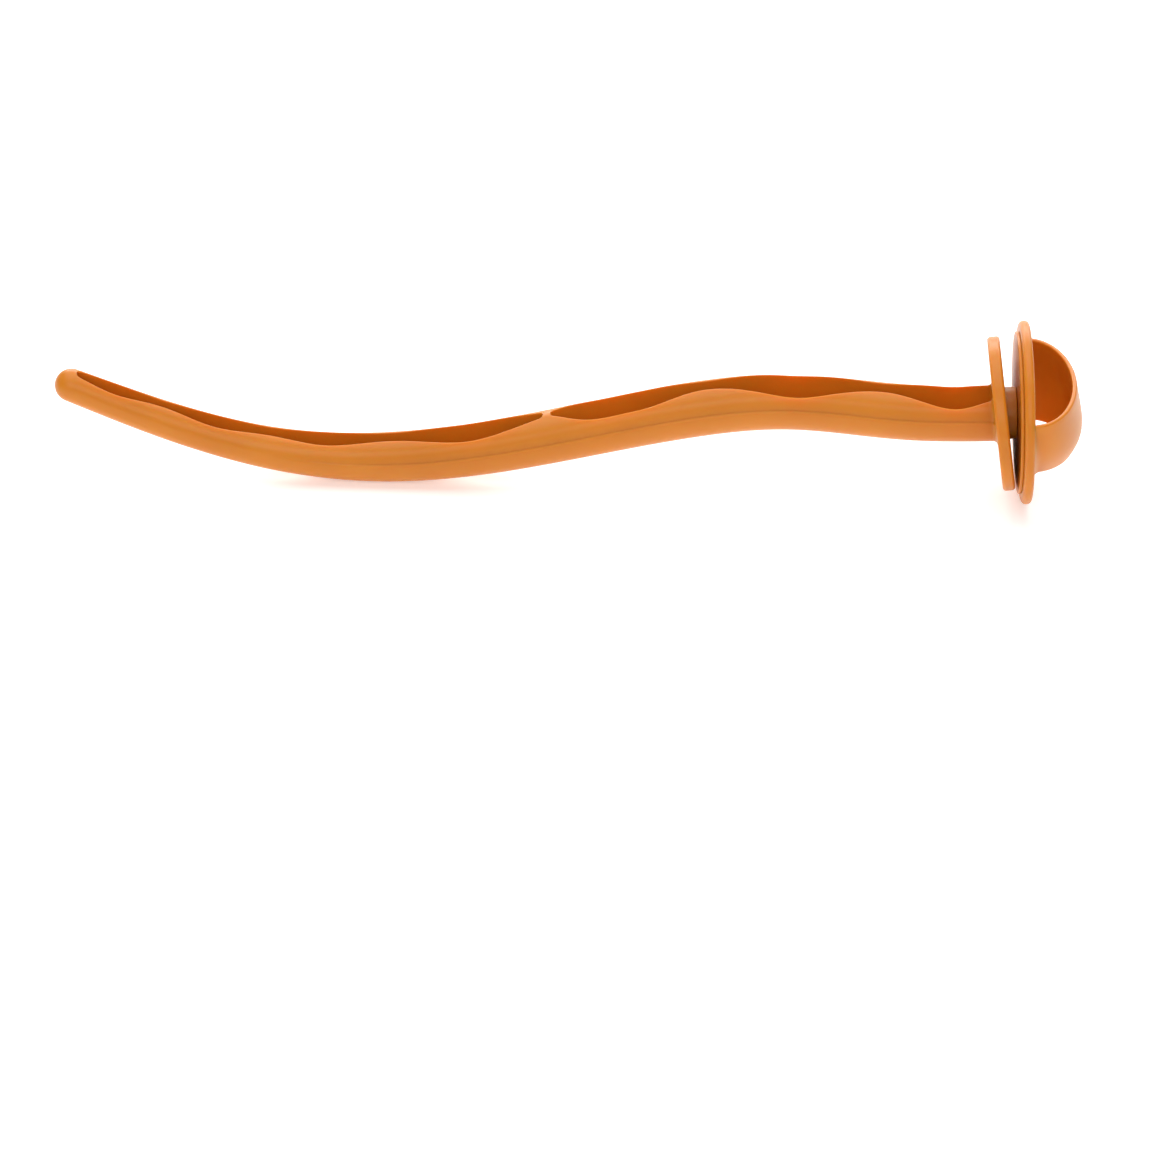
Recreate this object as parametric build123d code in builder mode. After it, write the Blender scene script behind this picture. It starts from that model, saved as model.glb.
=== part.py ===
"""Clamp-on plastic perch arm: a curved, cored arm held in a wire panel by a screw-on disc with a thumb hoop.

Millimetres. +X points out through the clamp along the screw axis, +Z is up, and the arm runs along -X.
The origin lies on the screw axis, in the plane where the closed clamp's pressure plate meets the panel.
"""

from build123d import *
from math import cos, radians, sin, sqrt
import os

os.makedirs("parts", exist_ok=True)

# Arm: how far the centre of its round tip stands from the clamp plane, and its centre line in the XZ plane.
# Each row is a share of that reach, the height of the centre line, and the section radius there.
arm_reach = 228.0
arm_stations = [
    (1.0, 13.7, 4.05),
    (0.918, 4.5, 4.50),
    (0.804, -5.2, 5.15),
    (0.669, -9.05, 6.10),
    (0.4965, -4.25, 6.55),
    (0.3345, 3.0, 6.68),
    (0.2373, 4.4, 6.66),
    (0.115, 0.8, 6.72),
]
root_radius = 6.75

# Two pockets are cored into the arm from above. They swell into lobes and narrow to humps. Each row is a
# share of the reach and the pocket's half width there as a share of the section radius.
outer_pocket = [
    (0.9954, 0.30),
    (0.958, 0.52),
    (0.916, 0.30),
    (0.859, 0.52),
    (0.802, 0.34),
    (0.738, 0.50),
    (0.664, 0.29),
    (0.578, 0.60),
    (0.4985, 0.18),
]
inner_pocket = [
    (0.4815, 0.18),
    (0.457, 0.52),
    (0.4115, 0.64),
    (0.375, 0.57),
    (0.3265, 0.28),
    (0.2312, 0.73),
    (0.139, 0.28),
    (0.063, 0.73),
]
root_pocket_half_share = 0.50  # half width of the inner pocket at its root end, as a share of the root radius
pocket_end_round = 1.0
pocket_floor_share = 0.44  # depth of the floor below the centre line, as a share of the section radius
root_wall = 5.2  # solid arm left between the root end of the inner pocket and the neck's end

# Clamp: the flange on the arm leans back, so that its lower edge meets the pressure plate first.
flange_radius = 18.6
flange_thickness = 3.0
flange_lean = 6.2
flange_round = 0.8
neck_radius = 6.25
disc_radius = 22.0
disc_thickness = 2.4
disc_round = 1.0
plate_radius = 19.5
plate_thickness = 0.8
plate_round = 0.2
closing_gap = 0.1  # left between the pressure plate, the flange's lower edge and the neck's end when closed

# Screw post on the knob, and the bore that takes it
post_radius = 4.0
post_clearance = 0.3
post_tip_chamfer = 0.5
bore_past_wall = 0.4  # how far the bore reaches past the pocket's root end, so that it opens into the pocket

# Hoop: a bottomless bowl cut in half by the disc. Each row is a height, the half width as a share of the
# widest ring's, and the depth of the outer face from the disc.
hoop_inset = 0.2  # how far the widest ring's ends stand inside the disc's edge
hoop_rings = [
    (8.9, 1.0, 11.0),
    (3.0, 0.96, 12.0),
    (-3.5, 0.83, 12.5),
    (-9.4, 0.61, 10.4),
]
hoop_wall = 1.3
hoop_cut_past = 1.0

# Places worked out from the sizes above
clamp_face = 0.0
disc_inner_face = clamp_face + plate_thickness
disc_outer_face = disc_inner_face + disc_thickness
neck_end = clamp_face - closing_gap
flange_face = neck_end - flange_radius * sin(radians(flange_lean))
pocket_root_end = neck_end - root_wall
bore_end = pocket_root_end - bore_past_wall
bore_radius = post_radius + post_clearance
hoop_half_width = sqrt((disc_radius - hoop_inset) ** 2 - hoop_rings[0][0] ** 2)

sections = [(-share * arm_reach, z, radius) for share, z, radius in arm_stations]
sections.append((flange_face - flange_thickness / 2, 0.0, root_radius))


def radius_at(x):
    """The arm's section radius at x, between the two stations beside it."""
    for (x0, z0, r0), (x1, z1, r1) in zip(sections, sections[1:]):
        if x0 <= x <= x1:
            return r0 + (r1 - r0) * (x - x0) / (x1 - x0)
    return root_radius


def lean_plane(x):
    """The plane across the screw axis at x, leaning back by the flange's angle."""
    lean = radians(flange_lean)
    return Plane(origin=(x, 0, 0), x_dir=(0, 1, 0), z_dir=(cos(lean), 0, sin(lean)))


def cross_plane(x):
    """The plane square to the screw axis at x."""
    return Plane(origin=(x, 0, 0), x_dir=(0, 1, 0), z_dir=(1, 0, 0))


def draw_pocket(rows):
    """Draws the closed outline of one pocket, seen from above, in the current line builder."""
    near = Spline(*[(x, -half) for x, half in rows])
    far = Spline(*[(x, half) for x, half in rows])
    ThreePointArc(near @ 0, (rows[0][0] - pocket_end_round, 0), far @ 0)
    ThreePointArc(near @ 1, (rows[-1][0] + pocket_end_round, 0), far @ 1)


def pocket_rows(shares):
    """The places along X and half widths of one pocket."""
    places = [(-share * arm_reach, half) for share, half in shares]
    return [(x, half * radius_at(x)) for x, half in places]


def rim_edges(part, radius):
    """The circular edges of the part that have this radius."""
    return [edge for edge in part.edges().filter_by(GeomType.CIRCLE) if abs(edge.radius - radius) < 0.01]


outer_rows = pocket_rows(outer_pocket)
inner_rows = pocket_rows(inner_pocket)
inner_rows.append((pocket_root_end - pocket_end_round, root_pocket_half_share * root_radius))

with BuildLine() as centre:
    Spline(*[(x, 0, z) for x, z, radius in sections])
centre_line = centre.line.edges()[0]

with BuildPart() as pocket_core:
    with BuildSketch(Plane.XY.offset(-disc_radius)):
        for rows in (outer_rows, inner_rows):
            with BuildLine():
                draw_pocket(rows)
            make_face()
    extrude(amount=2 * disc_radius)
    with BuildSketch(Plane.XZ.offset(-disc_radius)):
        with BuildLine():
            floor = Spline(*[(x, z - pocket_floor_share * radius) for x, z, radius in sections])
            Polyline(floor @ 0, (sections[0][0], disc_radius), (sections[-1][0], disc_radius), floor @ 1)
        make_face()
    extrude(amount=2 * disc_radius, mode=Mode.INTERSECT)

with BuildPart() as perch_arm:
    for x, z, radius in sections:
        tangent = centre_line.tangent_at(centre_line.param_at_point((x, 0, z)))
        with BuildSketch(Plane(origin=(x, 0, z), x_dir=(0, 1, 0), z_dir=tangent)):
            Circle(radius)
    loft()
    tip_x, tip_z, tip_radius = sections[0]
    with Locations((tip_x, 0, tip_z)):
        Sphere(tip_radius)
    with BuildSketch(lean_plane(flange_face)):
        Circle(flange_radius)
    extrude(amount=-flange_thickness)
    fillet(rim_edges(perch_arm, flange_radius), flange_round)
    add(pocket_core.part, mode=Mode.SUBTRACT)
    with BuildSketch(cross_plane(neck_end)):
        Circle(neck_radius)
    extrude(amount=flange_face - flange_thickness / 2 - neck_end)
    with BuildSketch(cross_plane(neck_end)):
        Circle(bore_radius)
    extrude(amount=bore_end - neck_end, mode=Mode.SUBTRACT)
perch_arm.part.label = "perch_arm"
export_step(perch_arm.part, "parts/perch_arm.step")

with BuildPart() as clamp_washer:
    with BuildSketch(cross_plane(clamp_face)):
        Circle(plate_radius)
        Circle(bore_radius, mode=Mode.SUBTRACT)
    extrude(amount=plate_thickness)
    fillet(rim_edges(clamp_washer, plate_radius), plate_round)
clamp_washer.part.label = "clamp_washer"
export_step(clamp_washer.part, "parts/clamp_washer.step")

with BuildPart() as hoop_hollow:
    for z, width_share, depth in hoop_rings:
        with BuildSketch(Plane(origin=(disc_outer_face, 0, z))):
            Ellipse(depth - hoop_wall, width_share * hoop_half_width - hoop_wall)
    loft()
    extrude(hoop_hollow.faces().sort_by(Axis.Z)[-1], amount=hoop_cut_past)
    extrude(hoop_hollow.faces().sort_by(Axis.Z)[0], amount=hoop_cut_past)

with BuildPart() as hoop:
    for z, width_share, depth in hoop_rings:
        with BuildSketch(Plane(origin=(disc_outer_face, 0, z))):
            Ellipse(depth, width_share * hoop_half_width)
    loft()
    add(hoop_hollow.part, mode=Mode.SUBTRACT)
    split(bisect_by=cross_plane(disc_outer_face - disc_thickness / 2), keep=Keep.TOP)

with BuildPart() as clamp_knob:
    with BuildSketch(cross_plane(disc_inner_face)):
        Circle(disc_radius)
    extrude(amount=disc_thickness)
    fillet(rim_edges(clamp_knob, disc_radius), disc_round)
    add(hoop.part)
    with BuildSketch(cross_plane(disc_inner_face)):
        Circle(post_radius)
    extrude(amount=pocket_root_end - disc_inner_face)
    chamfer(clamp_knob.edges().filter_by(GeomType.CIRCLE).sort_by(Axis.X)[0], post_tip_chamfer)
clamp_knob.part.label = "clamp_knob"
export_step(clamp_knob.part, "parts/clamp_knob.step")
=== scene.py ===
"""Looks of the clamp-on perch arm: three satin orange mouldings on a pale floor, around the CAD frame."""

import math

import bmesh
import bpy
import numpy as np
from mathutils import Matrix, Vector


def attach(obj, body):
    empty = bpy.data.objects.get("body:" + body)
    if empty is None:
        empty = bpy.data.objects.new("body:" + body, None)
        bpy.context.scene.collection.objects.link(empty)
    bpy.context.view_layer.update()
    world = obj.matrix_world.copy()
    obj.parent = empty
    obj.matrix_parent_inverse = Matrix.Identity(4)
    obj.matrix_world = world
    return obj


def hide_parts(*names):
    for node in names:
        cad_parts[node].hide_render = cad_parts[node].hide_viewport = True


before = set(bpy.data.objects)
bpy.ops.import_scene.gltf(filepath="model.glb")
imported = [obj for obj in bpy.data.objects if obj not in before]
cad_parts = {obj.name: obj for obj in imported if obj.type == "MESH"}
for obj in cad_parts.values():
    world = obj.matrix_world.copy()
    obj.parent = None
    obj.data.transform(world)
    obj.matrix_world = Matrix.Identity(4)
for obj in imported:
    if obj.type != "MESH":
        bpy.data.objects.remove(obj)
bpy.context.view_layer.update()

MM = 0.001

# Driving sizes, the same as the CAD model's, in millimetres. A row of the arm is a share of its reach, the
# height of its centre line and the section radius there.
ARM_REACH = 228.0
ARM_STATIONS = [
    (1.0, 13.7, 4.05),
    (0.918, 4.5, 4.50),
    (0.804, -5.2, 5.15),
    (0.669, -9.05, 6.10),
    (0.4965, -4.25, 6.55),
    (0.3345, 3.0, 6.68),
    (0.2373, 4.4, 6.66),
    (0.115, 0.8, 6.72),
]
ROOT_RADIUS = 6.75

# A row of a pocket is a share of the reach, and the half width there as a share of the section radius
OUTER_POCKET = [
    (0.9954, 0.30),
    (0.958, 0.52),
    (0.916, 0.30),
    (0.859, 0.52),
    (0.802, 0.34),
    (0.738, 0.50),
    (0.664, 0.29),
    (0.578, 0.60),
    (0.4985, 0.18),
]
INNER_POCKET = [
    (0.4815, 0.18),
    (0.457, 0.52),
    (0.4115, 0.64),
    (0.375, 0.57),
    (0.3265, 0.28),
    (0.2312, 0.73),
    (0.139, 0.28),
    (0.063, 0.73),
]
ROOT_POCKET_HALF_SHARE = 0.50
POCKET_END_ROUND = 1.0
POCKET_FLOOR_SHARE = 0.44
ROOT_WALL = 5.2
FLANGE_RADIUS = 18.6
FLANGE_THICKNESS = 3.0
FLANGE_LEAN = math.radians(6.2)
NECK_RADIUS = 6.25
DISC_RADIUS = 22.0
DISC_THICKNESS = 2.4
PLATE_RADIUS = 19.5
PLATE_THICKNESS = 0.8
CLOSING_GAP = 0.1
POST_RADIUS = 4.0
POST_CLEARANCE = 0.3
HOOP_INSET = 0.2

# A row of the hoop is a height, the half width as a share of the widest, and the depth from the disc
HOOP_RINGS = [
    (8.9, 1.0, 11.0),
    (3.0, 0.96, 12.0),
    (-3.5, 0.83, 12.5),
    (-9.4, 0.61, 10.4),
]
HOOP_WALL = 1.3

DISC_OUTER_FACE = PLATE_THICKNESS + DISC_THICKNESS
NECK_END = -CLOSING_GAP
FLANGE_FACE = NECK_END - FLANGE_RADIUS * math.sin(FLANGE_LEAN)
POCKET_ROOT_END = NECK_END - ROOT_WALL
BORE_RADIUS = POST_RADIUS + POST_CLEARANCE

# Finer shape that only the looks carry, in millimetres unless it says otherwise
PARTING_HEIGHT_SHARE = 0.21  # height of the step above the section's centre, as a share of its radius
PARTING_STEP = 0.42
PARTING_RUN = 0.12
PARTING_BLEND = 0.6  # angle above the step, in radians, over which the wall comes back to its full radius
PARTING_FADE = (-185.0, -140.0)  # places along X between which the step grows from nothing
RIM_ROUND = 0.35
RIM_ROUND_LIMIT = 0.6  # the most a rim's rounding may be, as a share of the pocket's half width
FLOOR_ROUND = 1.0
FLOOR_ROUND_LIMIT = 0.7  # the same at the floor, as a share of the floor's half width
FLOOR_HALF_SHARE = 0.94  # the pocket's draft: its half width at the floor, as a share of that at the rim
TIP_INSET = 0.04  # keeps the round tip within the CAD model's box
FLANGE_FILLET = 1.1
FILLET_END = -0.5  # how far into the flange the arm's skin still carries the fillet
FLANGE_RIM_ROUND = 0.8
FLANGE_BORE_ROOM = 0.6  # how far the flange's own bore stands outside the neck's
NECK_SUNK_SHARE = 0.6  # how deep the neck starts in the flange, as a share of its thickness
NECK_RIM_ROUND = 0.25
DISC_RIM_ROUND = 1.0
PLATE_RIM_ROUND = 0.25
SKIN_INSET = 0.09  # keeps the hoop's smooth outside within the CAD model's box
HOOP_RIM_ROUND = 0.5
HOOP_FILLET = 1.9
HOOP_FILLET_ROOM = 0.8  # share of the disc's face beside the hoop that the fillet may take
HOOP_FILLET_LEAST = 0.05
HOOP_INNER_FILLET = 0.7
HOOP_FOOT_POWER = 9  # keeps the lower rim's fillet to the lower rim
POST_SUNK = 0.2
THREAD_PITCH = 2.5
THREAD_DEPTH = 0.7
THREAD_CREST = 1.6  # height of the ridge's slope at its middle; over 1, it is cut to a flat crest
THREAD_SLOPE = 4.8  # how much of the ridge's height is lost in a whole pitch
THREAD_START = 0.8  # length at the post's tip over which the thread grows from nothing
THREAD_RUNOUT = (1.0, 0.6)  # distances from the post's other end between which it fades

# How finely the skins are divided
BELOW_STEPS, ABOVE_STEPS = 18, 16
ABOVE_CROWDING = 1.3  # sets the points above the parting step closer together beside it
RIM_STEPS, WALL_STEPS, ROUND_STEPS, FLOOR_STEPS = 5, 4, 5, 3
ARM_SPACING = 0.7
ROOT_SPACING = 0.15
ROOT_RUN = 3  # length before the pocket's root end from which the rings stand at the root's spacing
LEAST_SPACING = 0.012
POCKET_END_STEPS = 8
TIP_STEPS = 10
FLAT_STEPS, CORNER_STEPS, TURN_STEPS = 6, 8, 160
HOOP_SIDE_STEPS, HOOP_CORNER_STEPS = 12, 6
HOOP_FINE_TO, HOOP_FINE_STEP, HOOP_STEP = 75, 0.75, 2.5  # degrees round the hoop
POST_STEPS, POST_TURN_STEPS = 80, 72
SAME_PLACE = 1e-6
PLACE_ROUNDING = 1e-3  # rounded places that are nearer than this are one place
SLOPE_STEP = 0.01
ARM_WELD, TURN_WELD, LEAST_EDGE = 0.002, 0.001, 0.0005

# Plastic. A noise is its scale, detail and sometimes roughness, and a bump its strength and distance.
NOISE_SHIFT = (0.37, 0.11, 0.23)
DEEPER_ORANGE, PALER_ORANGE = (0.57, 0.180, 0.009, 1), (0.62, 0.208, 0.012, 1)
ORANGE_PLACES = (0.3, 0.7)
POLISH_RANGE = (0.32, 0.42)
DRIFT_NOISE, POLISH_NOISE = (45.0, 3.0), (160.0, 4.0, 0.6)
GRAIN_NOISE, GRAIN_BUMP = (2600.0, 2.0), (0.12, 0.00005)
WAVE_NOISE, WAVE_BUMP = (90.0, 1.0), (0.15, 0.0003)

# Floor, camera and light. The part lies on its belly and the disc's rim, so the floor leans a little
# against the screw axis.
REST_PITCH = math.radians(2.7)
FLOOR_SIZE = 6.0
FLOOR_COLOUR = (0.93, 0.93, 0.93, 1)
FLOOR_GLOW = 0.35
WORLD_STRENGTH = 0.30
LIGHTS = [  # name, place, target, size and power
    ("overhead", (-0.10, 0.15, 0.9), (-0.10, 0, 0), (1.2, 0.9), 8.0),
    ("front", (-0.15, -0.87, 0.68), (-0.10, 0, 0), (0.8, 0.6), 4.0),
    ("back", (-0.05, 1.0, 0.45), (-0.05, 0, 0), (1.4, 0.5), 11.0),
]
CAMERA_ELEVATION, CAMERA_YAW, CAMERA_PITCH = 36.0, 2.8, 3.26
CAMERA_LENS = 103.3
CAMERA_SENSOR = 36.0
CAMERA_NEAR = 0.01
CAMERA_DISTANCE = 0.800
CAMERA_AIM = (-0.10688, -0.02170, -0.03011)


def natural_spline(knots, values):
    """A smooth curve through the values at the knots, as a function of one number or an array."""
    x, y = np.array(knots, float), np.array(values, float)
    n = len(x)
    h = np.diff(x)
    a = np.zeros((n, n))
    b = np.zeros(n)
    a[0, 0] = a[-1, -1] = 1
    for i in range(1, n - 1):
        a[i, i - 1], a[i, i], a[i, i + 1] = h[i - 1], 2 * (h[i - 1] + h[i]), h[i]
        b[i] = 3 * ((y[i + 1] - y[i]) / h[i] - (y[i] - y[i - 1]) / h[i - 1])
    c = np.linalg.solve(a, b)

    def value(t):
        t = np.asarray(t, float)
        i = np.clip(np.searchsorted(x, t) - 1, 0, n - 2)
        s = t - x[i]
        slope = (y[i + 1] - y[i]) / h[i] - h[i] * (2 * c[i] + c[i + 1]) / 3
        return y[i] + s * (slope + s * (c[i] + s * (c[i + 1] - c[i]) / (3 * h[i])))

    return value


stations = [(-share * ARM_REACH, z, r) for share, z, r in ARM_STATIONS]
stations.append((FLANGE_FACE - FLANGE_THICKNESS / 2, 0.0, ROOT_RADIUS))
centre_height = natural_spline([s[0] for s in stations], [s[1] for s in stations])
section_radius = natural_spline([s[0] for s in stations], [s[2] for s in stations])


def smooth_step(low, high, t):
    """0 below low, 1 above high, and smooth between."""
    s = min(1.0, max(0.0, (t - low) / (high - low)))
    return s * s * (3 - 2 * s)


def fillet_push(distance, radius):
    """How far a fillet of this radius pushes a skin out, at a distance from the face that it runs into."""
    if distance >= radius:
        return 0.0
    reach = radius - max(0.0, distance)
    return radius - math.sqrt(max(0.0, radius**2 - reach**2))


class Pocket:
    """One pocket's plan: its half width at any place along the arm."""

    def __init__(self, rows):
        self.first, self.last = rows[0], rows[-1]
        self.inner = natural_spline([x for x, half in rows], [half for x, half in rows])
        self.low = self.first[0] - POCKET_END_ROUND
        self.high = self.last[0] + POCKET_END_ROUND

    def half(self, x):
        if x <= self.low or x >= self.high:
            return 0.0
        if self.first[0] <= x <= self.last[0]:
            return float(self.inner(x))
        end, side = (self.first, -1) if x < self.first[0] else (self.last, 1)
        bulge = (end[1] ** 2 + POCKET_END_ROUND**2) / (2 * POCKET_END_ROUND)
        middle = end[0] + side * (POCKET_END_ROUND - bulge)
        return math.sqrt(max(0.0, bulge**2 - (x - middle) ** 2))


def pocket_rows(shares):
    """The places along X and half widths of one pocket."""
    places = [(-share * ARM_REACH, half) for share, half in shares]
    return [(x, half * float(section_radius(x))) for x, half in places]


inner_rows = pocket_rows(INNER_POCKET)
inner_rows.append((POCKET_ROOT_END - POCKET_END_ROUND, ROOT_POCKET_HALF_SHARE * ROOT_RADIUS))
pockets = [Pocket(pocket_rows(OUTER_POCKET)), Pocket(inner_rows)]


def new_object(name, bm, body, node):
    """A finished bmesh, in millimetres, as a piece that rides on a body and stands for a CAD node."""
    bmesh.ops.recalc_face_normals(bm, faces=bm.faces)
    mesh = bpy.data.meshes.new(name)
    bm.to_mesh(mesh)
    bm.free()
    mesh.transform(Matrix.Scale(MM, 4))
    for polygon in mesh.polygons:
        polygon.use_smooth = True
    piece = bpy.data.objects.new(name, mesh)
    bpy.context.scene.collection.objects.link(piece)
    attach(piece, body)
    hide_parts(node)
    return piece


def skin(bm, rings, cap_ends=False, skip=None):
    """Quads between successive closed rings of points, and faces over the first and last ring if asked."""
    rows = [[bm.verts.new(p) for p in ring] for ring in rings]
    count = len(rows[0])
    for k in range(len(rows) - 1):
        for i in range(count):
            if skip and skip(k, i):
                continue
            j = (i + 1) % count
            bm.faces.new((rows[k][i], rows[k][j], rows[k + 1][j], rows[k + 1][i]))
    if cap_ends:
        bm.faces.new(rows[0])
        bm.faces.new(list(reversed(rows[-1])))
    return rows


def bezier(a, corner, b, count):
    """Points of a rounded corner from a to b, both included."""
    found = []
    for k in range(count + 1):
        t = k / count
        wa, wc, wb = (1 - t) ** 2, 2 * t * (1 - t), t * t
        found.append((wa * a[0] + wc * corner[0] + wb * b[0], wa * a[1] + wc * corner[1] + wb * b[1]))
    return found


def half_section(x, half, flare):
    """One side of the arm's section at x, from the bottom round to the middle of the pocket's floor.

    The points are (sideways, up) from the section's centre. flare(up) is how far the root fillet pushes
    a point of the outside outwards.
    """
    r = float(section_radius(x))
    step = PARTING_STEP * smooth_step(PARTING_FADE[0], PARTING_FADE[1], x)
    parting = math.acos(PARTING_HEIGHT_SHARE)
    above = parting - PARTING_RUN / r

    def upper_radius(angle):
        return r - step * (1 - smooth_step(0, PARTING_BLEND, above - angle))

    round_off = min(RIM_ROUND, RIM_ROUND_LIMIT * half)
    corner_angle = math.asin(min(1.0, half / r))
    rim_angle = corner_angle + round_off / r
    angles = [(math.pi + (parting - math.pi) * k / BELOW_STEPS, r) for k in range(BELOW_STEPS + 1)]
    for k in range(ABOVE_STEPS + 1):
        angle = above + (rim_angle - above) * (k / ABOVE_STEPS) ** ABOVE_CROWDING
        angles.append((angle, upper_radius(angle)))
    outside = []
    for angle, radius in angles:
        side, up = radius * math.sin(angle), radius * math.cos(angle)
        push = flare(up)
        outside.append((side + push * math.sin(angle), up + push * math.cos(angle)))
    top = upper_radius(corner_angle) * math.cos(corner_angle)
    rim = bezier(outside[-1], (half, top), (half, top - round_off), RIM_STEPS)
    floor_up = -POCKET_FLOOR_SHARE * r
    foot = half * FLOOR_HALF_SHARE
    rounding = min(FLOOR_ROUND, FLOOR_ROUND_LIMIT * foot)
    (top_side, top_up), foot_up = rim[-1], floor_up + rounding
    wall = []
    for k in range(1, WALL_STEPS + 1):
        t = k / WALL_STEPS
        wall.append((top_side + (foot - top_side) * t, top_up + (foot_up - top_up) * t))
    floor_round = bezier((foot, foot_up), (foot, floor_up), (foot - rounding, floor_up), ROUND_STEPS)[1:]
    floor = [((foot - rounding) * (1 - k / FLOOR_STEPS), floor_up) for k in range(1, FLOOR_STEPS + 1)]
    return outside, rim[1:] + wall + floor_round + floor


def arm_places():
    """Places along X of the arm's rings, close together where the pockets end and at the root."""
    root = POCKET_ROOT_END - ROOT_RUN
    places = set(np.round(np.arange(stations[0][0], root, ARM_SPACING), 4))
    places |= set(np.round(np.arange(root, stations[-1][0] + SLOPE_STEP, ROOT_SPACING), 4))
    for pocket in pockets:
        for k in range(POCKET_END_STEPS + 1):
            inset = POCKET_END_ROUND * (1 - math.cos(k / POCKET_END_STEPS * math.pi / 2))
            places.add(round(pocket.low + inset, 4))
            places.add(round(pocket.high - inset, 4))
    ordered = sorted(places)
    kept = [ordered[0]]
    for x in ordered[1:]:
        if x - kept[-1] > LEAST_SPACING:
            kept.append(x)
    return kept


def flange_distance(point):
    """How far a point lies on the arm's side of the flange's face there."""
    normal = Vector((math.cos(FLANGE_LEAN), 0, math.sin(FLANGE_LEAN)))
    face = Vector((FLANGE_FACE, 0, 0)) - normal * FLANGE_THICKNESS
    return (face - point).dot(normal)


def arm_ring(x, half, open_pocket):
    """The arm's closed ring at x, square to its centre line, and how many outside points a side has."""
    slope = float(centre_height(x + SLOPE_STEP) - centre_height(x - SLOPE_STEP)) / (2 * SLOPE_STEP)
    angle = math.atan(slope)
    middle = Vector((x, 0, float(centre_height(x))))
    up_dir = Vector((-math.sin(angle), 0, math.cos(angle)))

    def flare(up):
        distance = flange_distance(middle + up_dir * up)
        return 0.0 if distance < FILLET_END else fillet_push(distance, FLANGE_FILLET)

    outside, inside = half_section(x, half, flare)
    if not open_pocket:
        inside = [(0.0, outside[-1][1])] * len(inside)
    near = outside + inside
    far = [(-side, up) for side, up in reversed(near[1:-1])]
    return [middle + up_dir * up + Vector((0, -side, 0)) for side, up in near + far], len(outside)


def tip_end():
    """The centre of the round tip, the way it points and its radius."""
    x, z, r = stations[0]
    angle = math.atan(float(centre_height(x + SLOPE_STEP) - centre_height(x)) / SLOPE_STEP)
    return Vector((x, 0, z)), Vector((-math.cos(angle), 0, -math.sin(angle))), r - TIP_INSET


def tip_rings():
    """Rings of the round tip, from beside its pole to the first station."""
    middle, along, r = tip_end()
    full, count = arm_ring(middle.x, 0.0, False)
    found = []
    for k in range(1, TIP_STEPS):
        turn = math.pi / 2 * (1 - k / TIP_STEPS)
        found.append([middle + along * r * math.sin(turn) + (p - middle) * math.cos(turn) for p in full])
    return found


def build_arm_tube():
    """The arm's outside and pockets as one closed skin, with its root end inside the flange."""
    bm = bmesh.new()
    rings = tip_rings()
    opened = [False] * len(rings)
    outside_count = 0
    for x in arm_places():
        pocket = next((p for p in pockets if p.low - SAME_PLACE <= x <= p.high + SAME_PLACE), None)
        half = pocket.half(x) if pocket else 0.0
        states = [half > SAME_PLACE]
        if pocket and half <= SAME_PLACE:
            entering = abs(x - pocket.low) < PLACE_ROUNDING
            states = [False, True] if entering else [True, False]
        for state in states:
            ring, outside_count = arm_ring(x, half, state)
            rings.append(ring)
            opened.append(state)
    count = len(rings[0])

    def skip(k, i):
        in_pocket = outside_count - 1 <= i < count - outside_count + 1
        return in_pocket and opened[k] != opened[k + 1]

    rows = skin(bm, rings, skip=skip)
    tip_middle, tip_along, tip_radius = tip_end()
    pole = bm.verts.new(tip_middle + tip_along * tip_radius)
    for i in range(count):
        bm.faces.new((pole, rows[0][(i + 1) % count], rows[0][i]))
    bm.faces.new(rows[-1])
    bmesh.ops.remove_doubles(bm, verts=bm.verts, dist=ARM_WELD)
    bmesh.ops.dissolve_degenerate(bm, edges=bm.edges, dist=LEAST_EDGE)
    return bm


def ring_profile(inner_radius, outer_radius, low, high, rounding):
    """The closed half section of a flat ring with rounded outer corners, as (along, radius) points."""
    flat = outer_radius - rounding
    turns = [math.pi / 2 * k / CORNER_STEPS for k in range(CORNER_STEPS + 1)]
    points = [(low, inner_radius + (flat - inner_radius) * k / FLAT_STEPS) for k in range(FLAT_STEPS)]
    points += [(low + rounding * (1 - math.cos(turn)), flat + rounding * math.sin(turn)) for turn in turns]
    points += [(high - rounding * (1 - math.sin(turn)), flat + rounding * math.cos(turn)) for turn in turns]
    points += [(high, flat + (inner_radius - flat) * k / FLAT_STEPS) for k in range(1, FLAT_STEPS + 1)]
    return points


def revolve(bm, profile, along=0.0, lean=0.0):
    """Turns a closed (place, radius) profile about the screw axis, leant back about Y and moved along."""
    turn = Matrix.Rotation(-lean, 4, "Y")
    rings = []
    for k in range(TURN_STEPS):
        a = 2 * math.pi * k / TURN_STEPS
        ring = [Vector((place, radius * math.sin(a), radius * math.cos(a))) for place, radius in profile]
        rings.append([turn @ point + Vector((along, 0, 0)) for point in ring])
    rings.append(rings[0])
    skin(bm, rings)
    bmesh.ops.remove_doubles(bm, verts=bm.verts, dist=TURN_WELD)


def build_flange(bm):
    """Adds the leaning flange and the bored neck through the clamp gap."""
    flange = bmesh.new()
    bore = BORE_RADIUS + FLANGE_BORE_ROOM
    profile = ring_profile(bore, FLANGE_RADIUS, -FLANGE_THICKNESS, 0.0, FLANGE_RIM_ROUND)
    revolve(flange, profile, FLANGE_FACE, FLANGE_LEAN)
    neck = bmesh.new()
    base = FLANGE_FACE - FLANGE_THICKNESS * NECK_SUNK_SHARE
    revolve(neck, ring_profile(BORE_RADIUS, NECK_RADIUS, base, NECK_END, NECK_RIM_ROUND))
    for extra in (flange, neck):
        mesh = bpy.data.meshes.new("joined")
        extra.to_mesh(mesh)
        extra.free()
        bm.from_mesh(mesh)
        bpy.data.meshes.remove(mesh)


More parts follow.
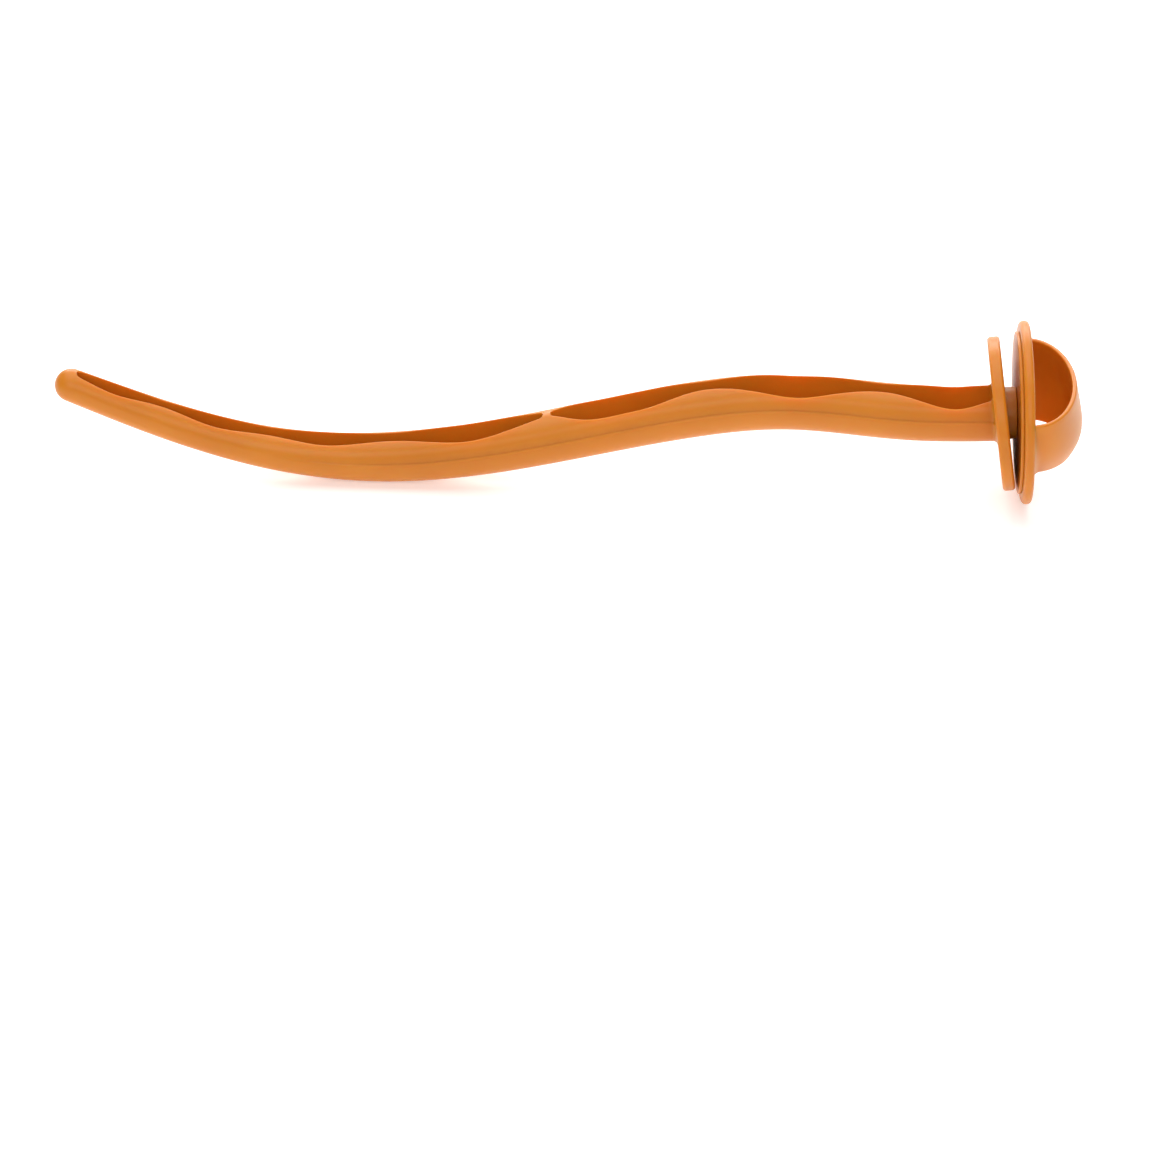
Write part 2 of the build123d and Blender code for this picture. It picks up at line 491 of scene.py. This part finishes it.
def build_perch_arm():
    bm = build_arm_tube()
    build_flange(bm)
    return new_object("perch_arm_moulding", bm, "arm", "perch_arm")


def build_washer():
    bm = bmesh.new()
    revolve(bm, ring_profile(BORE_RADIUS, PLATE_RADIUS, 0.0, PLATE_THICKNESS, PLATE_RIM_ROUND))
    return new_object("clamp_washer_plate", bm, "washer", "clamp_washer")


hoop_half_width = math.sqrt((DISC_RADIUS - HOOP_INSET) ** 2 - HOOP_RINGS[0][0] ** 2)
hoop_rows = HOOP_RINGS[::-1]
hoop_heights = [z for z, share, depth in hoop_rows]
hoop_width = natural_spline(hoop_heights, [share * hoop_half_width for z, share, depth in hoop_rows])
hoop_depth = natural_spline(hoop_heights, [depth for z, share, depth in hoop_rows])


def hoop_section():
    """The hoop's closed cross-section as (share of the wall from outside to inside, height) points."""
    low, high = hoop_heights[0], hoop_heights[-1]
    corner = HOOP_RIM_ROUND
    share = corner / HOOP_WALL
    rise = high - low - 2 * corner
    turns = [math.pi / 2 * k / HOOP_CORNER_STEPS for k in range(1, HOOP_CORNER_STEPS)]
    bends = [(1 - math.cos(turn), 1 - math.sin(turn)) for turn in turns]
    points = [(0.0, low + corner + rise * k / HOOP_SIDE_STEPS) for k in range(HOOP_SIDE_STEPS + 1)]
    points += [(share * a, high - corner * b) for a, b in bends]
    points += [(share, high), (1 - share, high)]
    points += [(1 - share * b, high - corner * a) for a, b in bends]
    points += [(1.0, high - corner - rise * k / HOOP_SIDE_STEPS) for k in range(HOOP_SIDE_STEPS + 1)]
    points += [(1 - share * a, low + corner * b) for a, b in bends]
    points += [(1 - share, low), (share, low)]
    points += [(share * b, low + corner * a) for a, b in bends]
    return points


def outer_fillet(height):
    """The fillet's radius outside the hoop: as large as the disc's face leaves room for at this height."""
    flat_radius = DISC_RADIUS - DISC_RIM_ROUND
    room = math.sqrt(flat_radius**2 - height**2) - float(hoop_width(height))
    return max(HOOP_FILLET_LEAST, min(HOOP_FILLET, HOOP_FILLET_ROOM * room))


def build_hoop(bm):
    """Adds the bottomless bowl: its section carried round half an ellipse, both ends sunk in the disc."""
    section = hoop_section()
    middle_height = (hoop_heights[0] + hoop_heights[-1]) / 2
    half_height = (hoop_heights[-1] - hoop_heights[0]) / 2
    fine = np.arange(-90, -HOOP_FINE_TO, HOOP_FINE_STEP)
    coarse = np.arange(-HOOP_FINE_TO, HOOP_FINE_TO + HOOP_STEP / 2, HOOP_STEP)
    turns = [math.radians(a) for a in (*fine, *coarse, *(-fine[::-1]))]
    rings = []
    for k, turn in enumerate([turns[0], *turns, turns[-1]]):
        ring = []
        for share, height in section:
            inset = SKIN_INSET + (HOOP_WALL - SKIN_INSET) * share
            width = float(hoop_width(height)) - inset
            depth = float(hoop_depth(height)) - inset
            along, side = depth * math.cos(turn), width * math.sin(turn)
            if k == 0 or k == len(turns) + 1:
                along = -DISC_THICKNESS / 2
            outward = fillet_push(along, outer_fillet(height)) * max(0.0, 1 - 2 * share)
            inward = fillet_push(along, HOOP_INNER_FILLET) * max(0.0, 2 * share - 1)
            side += math.copysign(outward - inward, side)
            lift = 0.0
            if height < middle_height:
                low_share = (middle_height - height) / half_height
                lift = -fillet_push(along, HOOP_FILLET) * low_share**HOOP_FOOT_POWER
            ring.append(Vector((DISC_OUTER_FACE + along, side, height + lift)))
        rings.append(ring)
    skin(bm, rings, cap_ends=True)


def build_post(bm):
    """Adds the screw post: a moulded thread wound round a core, from the disc to the pocket's root end."""
    low, high = POCKET_ROOT_END, PLATE_THICKNESS + POST_SUNK
    rings = []
    for i in range(POST_STEPS + 1):
        x = low + (high - low) * i / POST_STEPS
        runout = smooth_step(high - THREAD_RUNOUT[0], high - THREAD_RUNOUT[1], x)
        ends = smooth_step(low, low + THREAD_START, x) * (1 - runout)
        ring = []
        for k in range(POST_TURN_STEPS):
            a = 2 * math.pi * k / POST_TURN_STEPS
            phase = ((x - low) / THREAD_PITCH - a / (2 * math.pi)) % 1.0
            ridge = max(0.0, min(1.0, THREAD_CREST - abs(phase - 0.5) * THREAD_SLOPE))
            radius = POST_RADIUS - THREAD_DEPTH * (1 - ridge * ends)
            ring.append(Vector((x, radius * math.cos(a), radius * math.sin(a))))
        rings.append(ring)
    skin(bm, rings, cap_ends=True)


def build_knob():
    bm = bmesh.new()
    revolve(bm, ring_profile(0.0, DISC_RADIUS, PLATE_THICKNESS, DISC_OUTER_FACE, DISC_RIM_ROUND))
    build_hoop(bm)
    build_post(bm)
    return new_object("clamp_knob_moulding", bm, "knob", "clamp_knob")


def plastic(name, seed):
    """Satin orange moulded plastic: faint colour drift, fine moulded grain and uneven polish."""
    material = bpy.data.materials.new(name)
    material.use_nodes = True
    nodes, links = material.node_tree.nodes, material.node_tree.links
    shader = nodes["Principled BSDF"]
    shader.inputs["IOR"].default_value = 1.5
    shader.inputs["Specular IOR Level"].default_value = 0.3
    shader.inputs["Subsurface Weight"].default_value = 0.5
    shader.inputs["Subsurface Radius"].default_value = (1.0, 0.35, 0.08)
    shader.inputs["Subsurface Scale"].default_value = 0.0025
    place = nodes.new("ShaderNodeTexCoord")
    shift = nodes.new("ShaderNodeMapping")
    shift.inputs["Location"].default_value = [seed * part for part in NOISE_SHIFT]
    links.new(place.outputs["Object"], shift.inputs["Vector"])

    def noise(scale, detail, roughness=0.5):
        found = nodes.new("ShaderNodeTexNoise")
        found.inputs["Scale"].default_value = scale
        found.inputs["Detail"].default_value = detail
        found.inputs["Roughness"].default_value = roughness
        links.new(shift.outputs["Vector"], found.inputs["Vector"])
        return found

    def bump(source, strength, distance):
        found = nodes.new("ShaderNodeBump")
        found.inputs["Strength"].default_value = strength
        found.inputs["Distance"].default_value = distance
        links.new(source.outputs["Fac"], found.inputs["Height"])
        return found

    drift = noise(*DRIFT_NOISE)
    ramp = nodes.new("ShaderNodeValToRGB")
    deeper, paler = ramp.color_ramp.elements
    deeper.position, paler.position = ORANGE_PLACES
    deeper.color, paler.color = DEEPER_ORANGE, PALER_ORANGE
    links.new(drift.outputs["Fac"], ramp.inputs["Fac"])
    links.new(ramp.outputs["Color"], shader.inputs["Base Color"])
    polish = noise(*POLISH_NOISE)
    spread = nodes.new("ShaderNodeMapRange")
    spread.inputs["To Min"].default_value, spread.inputs["To Max"].default_value = POLISH_RANGE
    links.new(polish.outputs["Fac"], spread.inputs["Value"])
    links.new(spread.outputs["Result"], shader.inputs["Roughness"])
    grain = bump(noise(*GRAIN_NOISE), *GRAIN_BUMP)
    waves = bump(noise(*WAVE_NOISE), *WAVE_BUMP)
    links.new(grain.outputs["Normal"], waves.inputs["Normal"])
    links.new(waves.outputs["Normal"], shader.inputs["Normal"])
    return material


def build_floor(pieces):
    """The pale floor, leaning, at the part's lowest point. It glows a little, so that shadows stay faint."""
    up = Vector((math.sin(REST_PITCH), 0, math.cos(REST_PITCH)))
    lowest = min(up.dot(v.co) for piece in pieces for v in piece.data.vertices)
    bpy.ops.mesh.primitive_plane_add(size=FLOOR_SIZE)
    floor = bpy.context.object
    floor.name = "floor"
    floor.matrix_world = Matrix.Translation(up * lowest) @ Matrix.Rotation(REST_PITCH, 4, "Y")
    material = bpy.data.materials.new("pale_floor")
    material.use_nodes = True
    shader = material.node_tree.nodes["Principled BSDF"]
    shader.inputs["Base Color"].default_value = FLOOR_COLOUR
    shader.inputs["Roughness"].default_value = 0.6
    shader.inputs["Emission Color"].default_value = (1, 1, 1, 1)
    shader.inputs["Emission Strength"].default_value = FLOOR_GLOW
    floor.data.materials.append(material)


def build_camera():
    """A long lens from the front and above, turned a little so that the arm's tip is the farther end."""
    elevation, yaw = math.radians(CAMERA_ELEVATION), math.radians(CAMERA_YAW)
    level = Matrix.Rotation(math.radians(CAMERA_PITCH), 3, "Y")
    across = math.cos(elevation)
    forward = Vector((-math.sin(yaw) * across, math.cos(yaw) * across, -math.sin(elevation)))
    right = Vector((math.cos(yaw), math.sin(yaw), 0))
    turned = level @ Matrix((right, right.cross(forward), -forward)).transposed()
    data = bpy.data.cameras.new("camera")
    data.lens = CAMERA_LENS
    data.sensor_width = CAMERA_SENSOR
    data.clip_start = CAMERA_NEAR
    camera = bpy.data.objects.new("camera", data)
    place = Vector(CAMERA_AIM) - (level @ forward) * CAMERA_DISTANCE
    camera.matrix_world = Matrix.Translation(place) @ turned.to_4x4()
    bpy.context.scene.collection.objects.link(camera)
    bpy.context.scene.camera = camera


def area_light(name, place, target, size, power):
    """A rectangular lamp at a place, turned to a target."""
    data = bpy.data.lights.new(name, "AREA")
    data.shape = "RECTANGLE"
    data.size, data.size_y = size
    data.energy = power
    lamp = bpy.data.objects.new(name, data)
    lamp.location = place
    lamp.rotation_euler = (Vector(target) - Vector(place)).to_track_quat("-Z", "Y").to_euler()
    bpy.context.scene.collection.objects.link(lamp)


def build_light():
    """A white surround and soft lamps, with plain colours in the picture."""
    world = bpy.data.worlds.new("studio")
    world.use_nodes = True
    background = world.node_tree.nodes["Background"]
    background.inputs["Color"].default_value = (1, 1, 1, 1)
    background.inputs["Strength"].default_value = WORLD_STRENGTH
    bpy.context.scene.world = world
    for light in LIGHTS:
        area_light(*light)
    bpy.context.scene.view_settings.view_transform = "Standard"


arm = build_perch_arm()
washer = build_washer()
knob = build_knob()
arm.data.materials.append(plastic("arm_orange_plastic", 1))
washer.data.materials.append(plastic("washer_orange_plastic", 2))
knob.data.materials.append(plastic("knob_orange_plastic", 3))
build_floor((arm, washer, knob))
build_camera()
build_light()
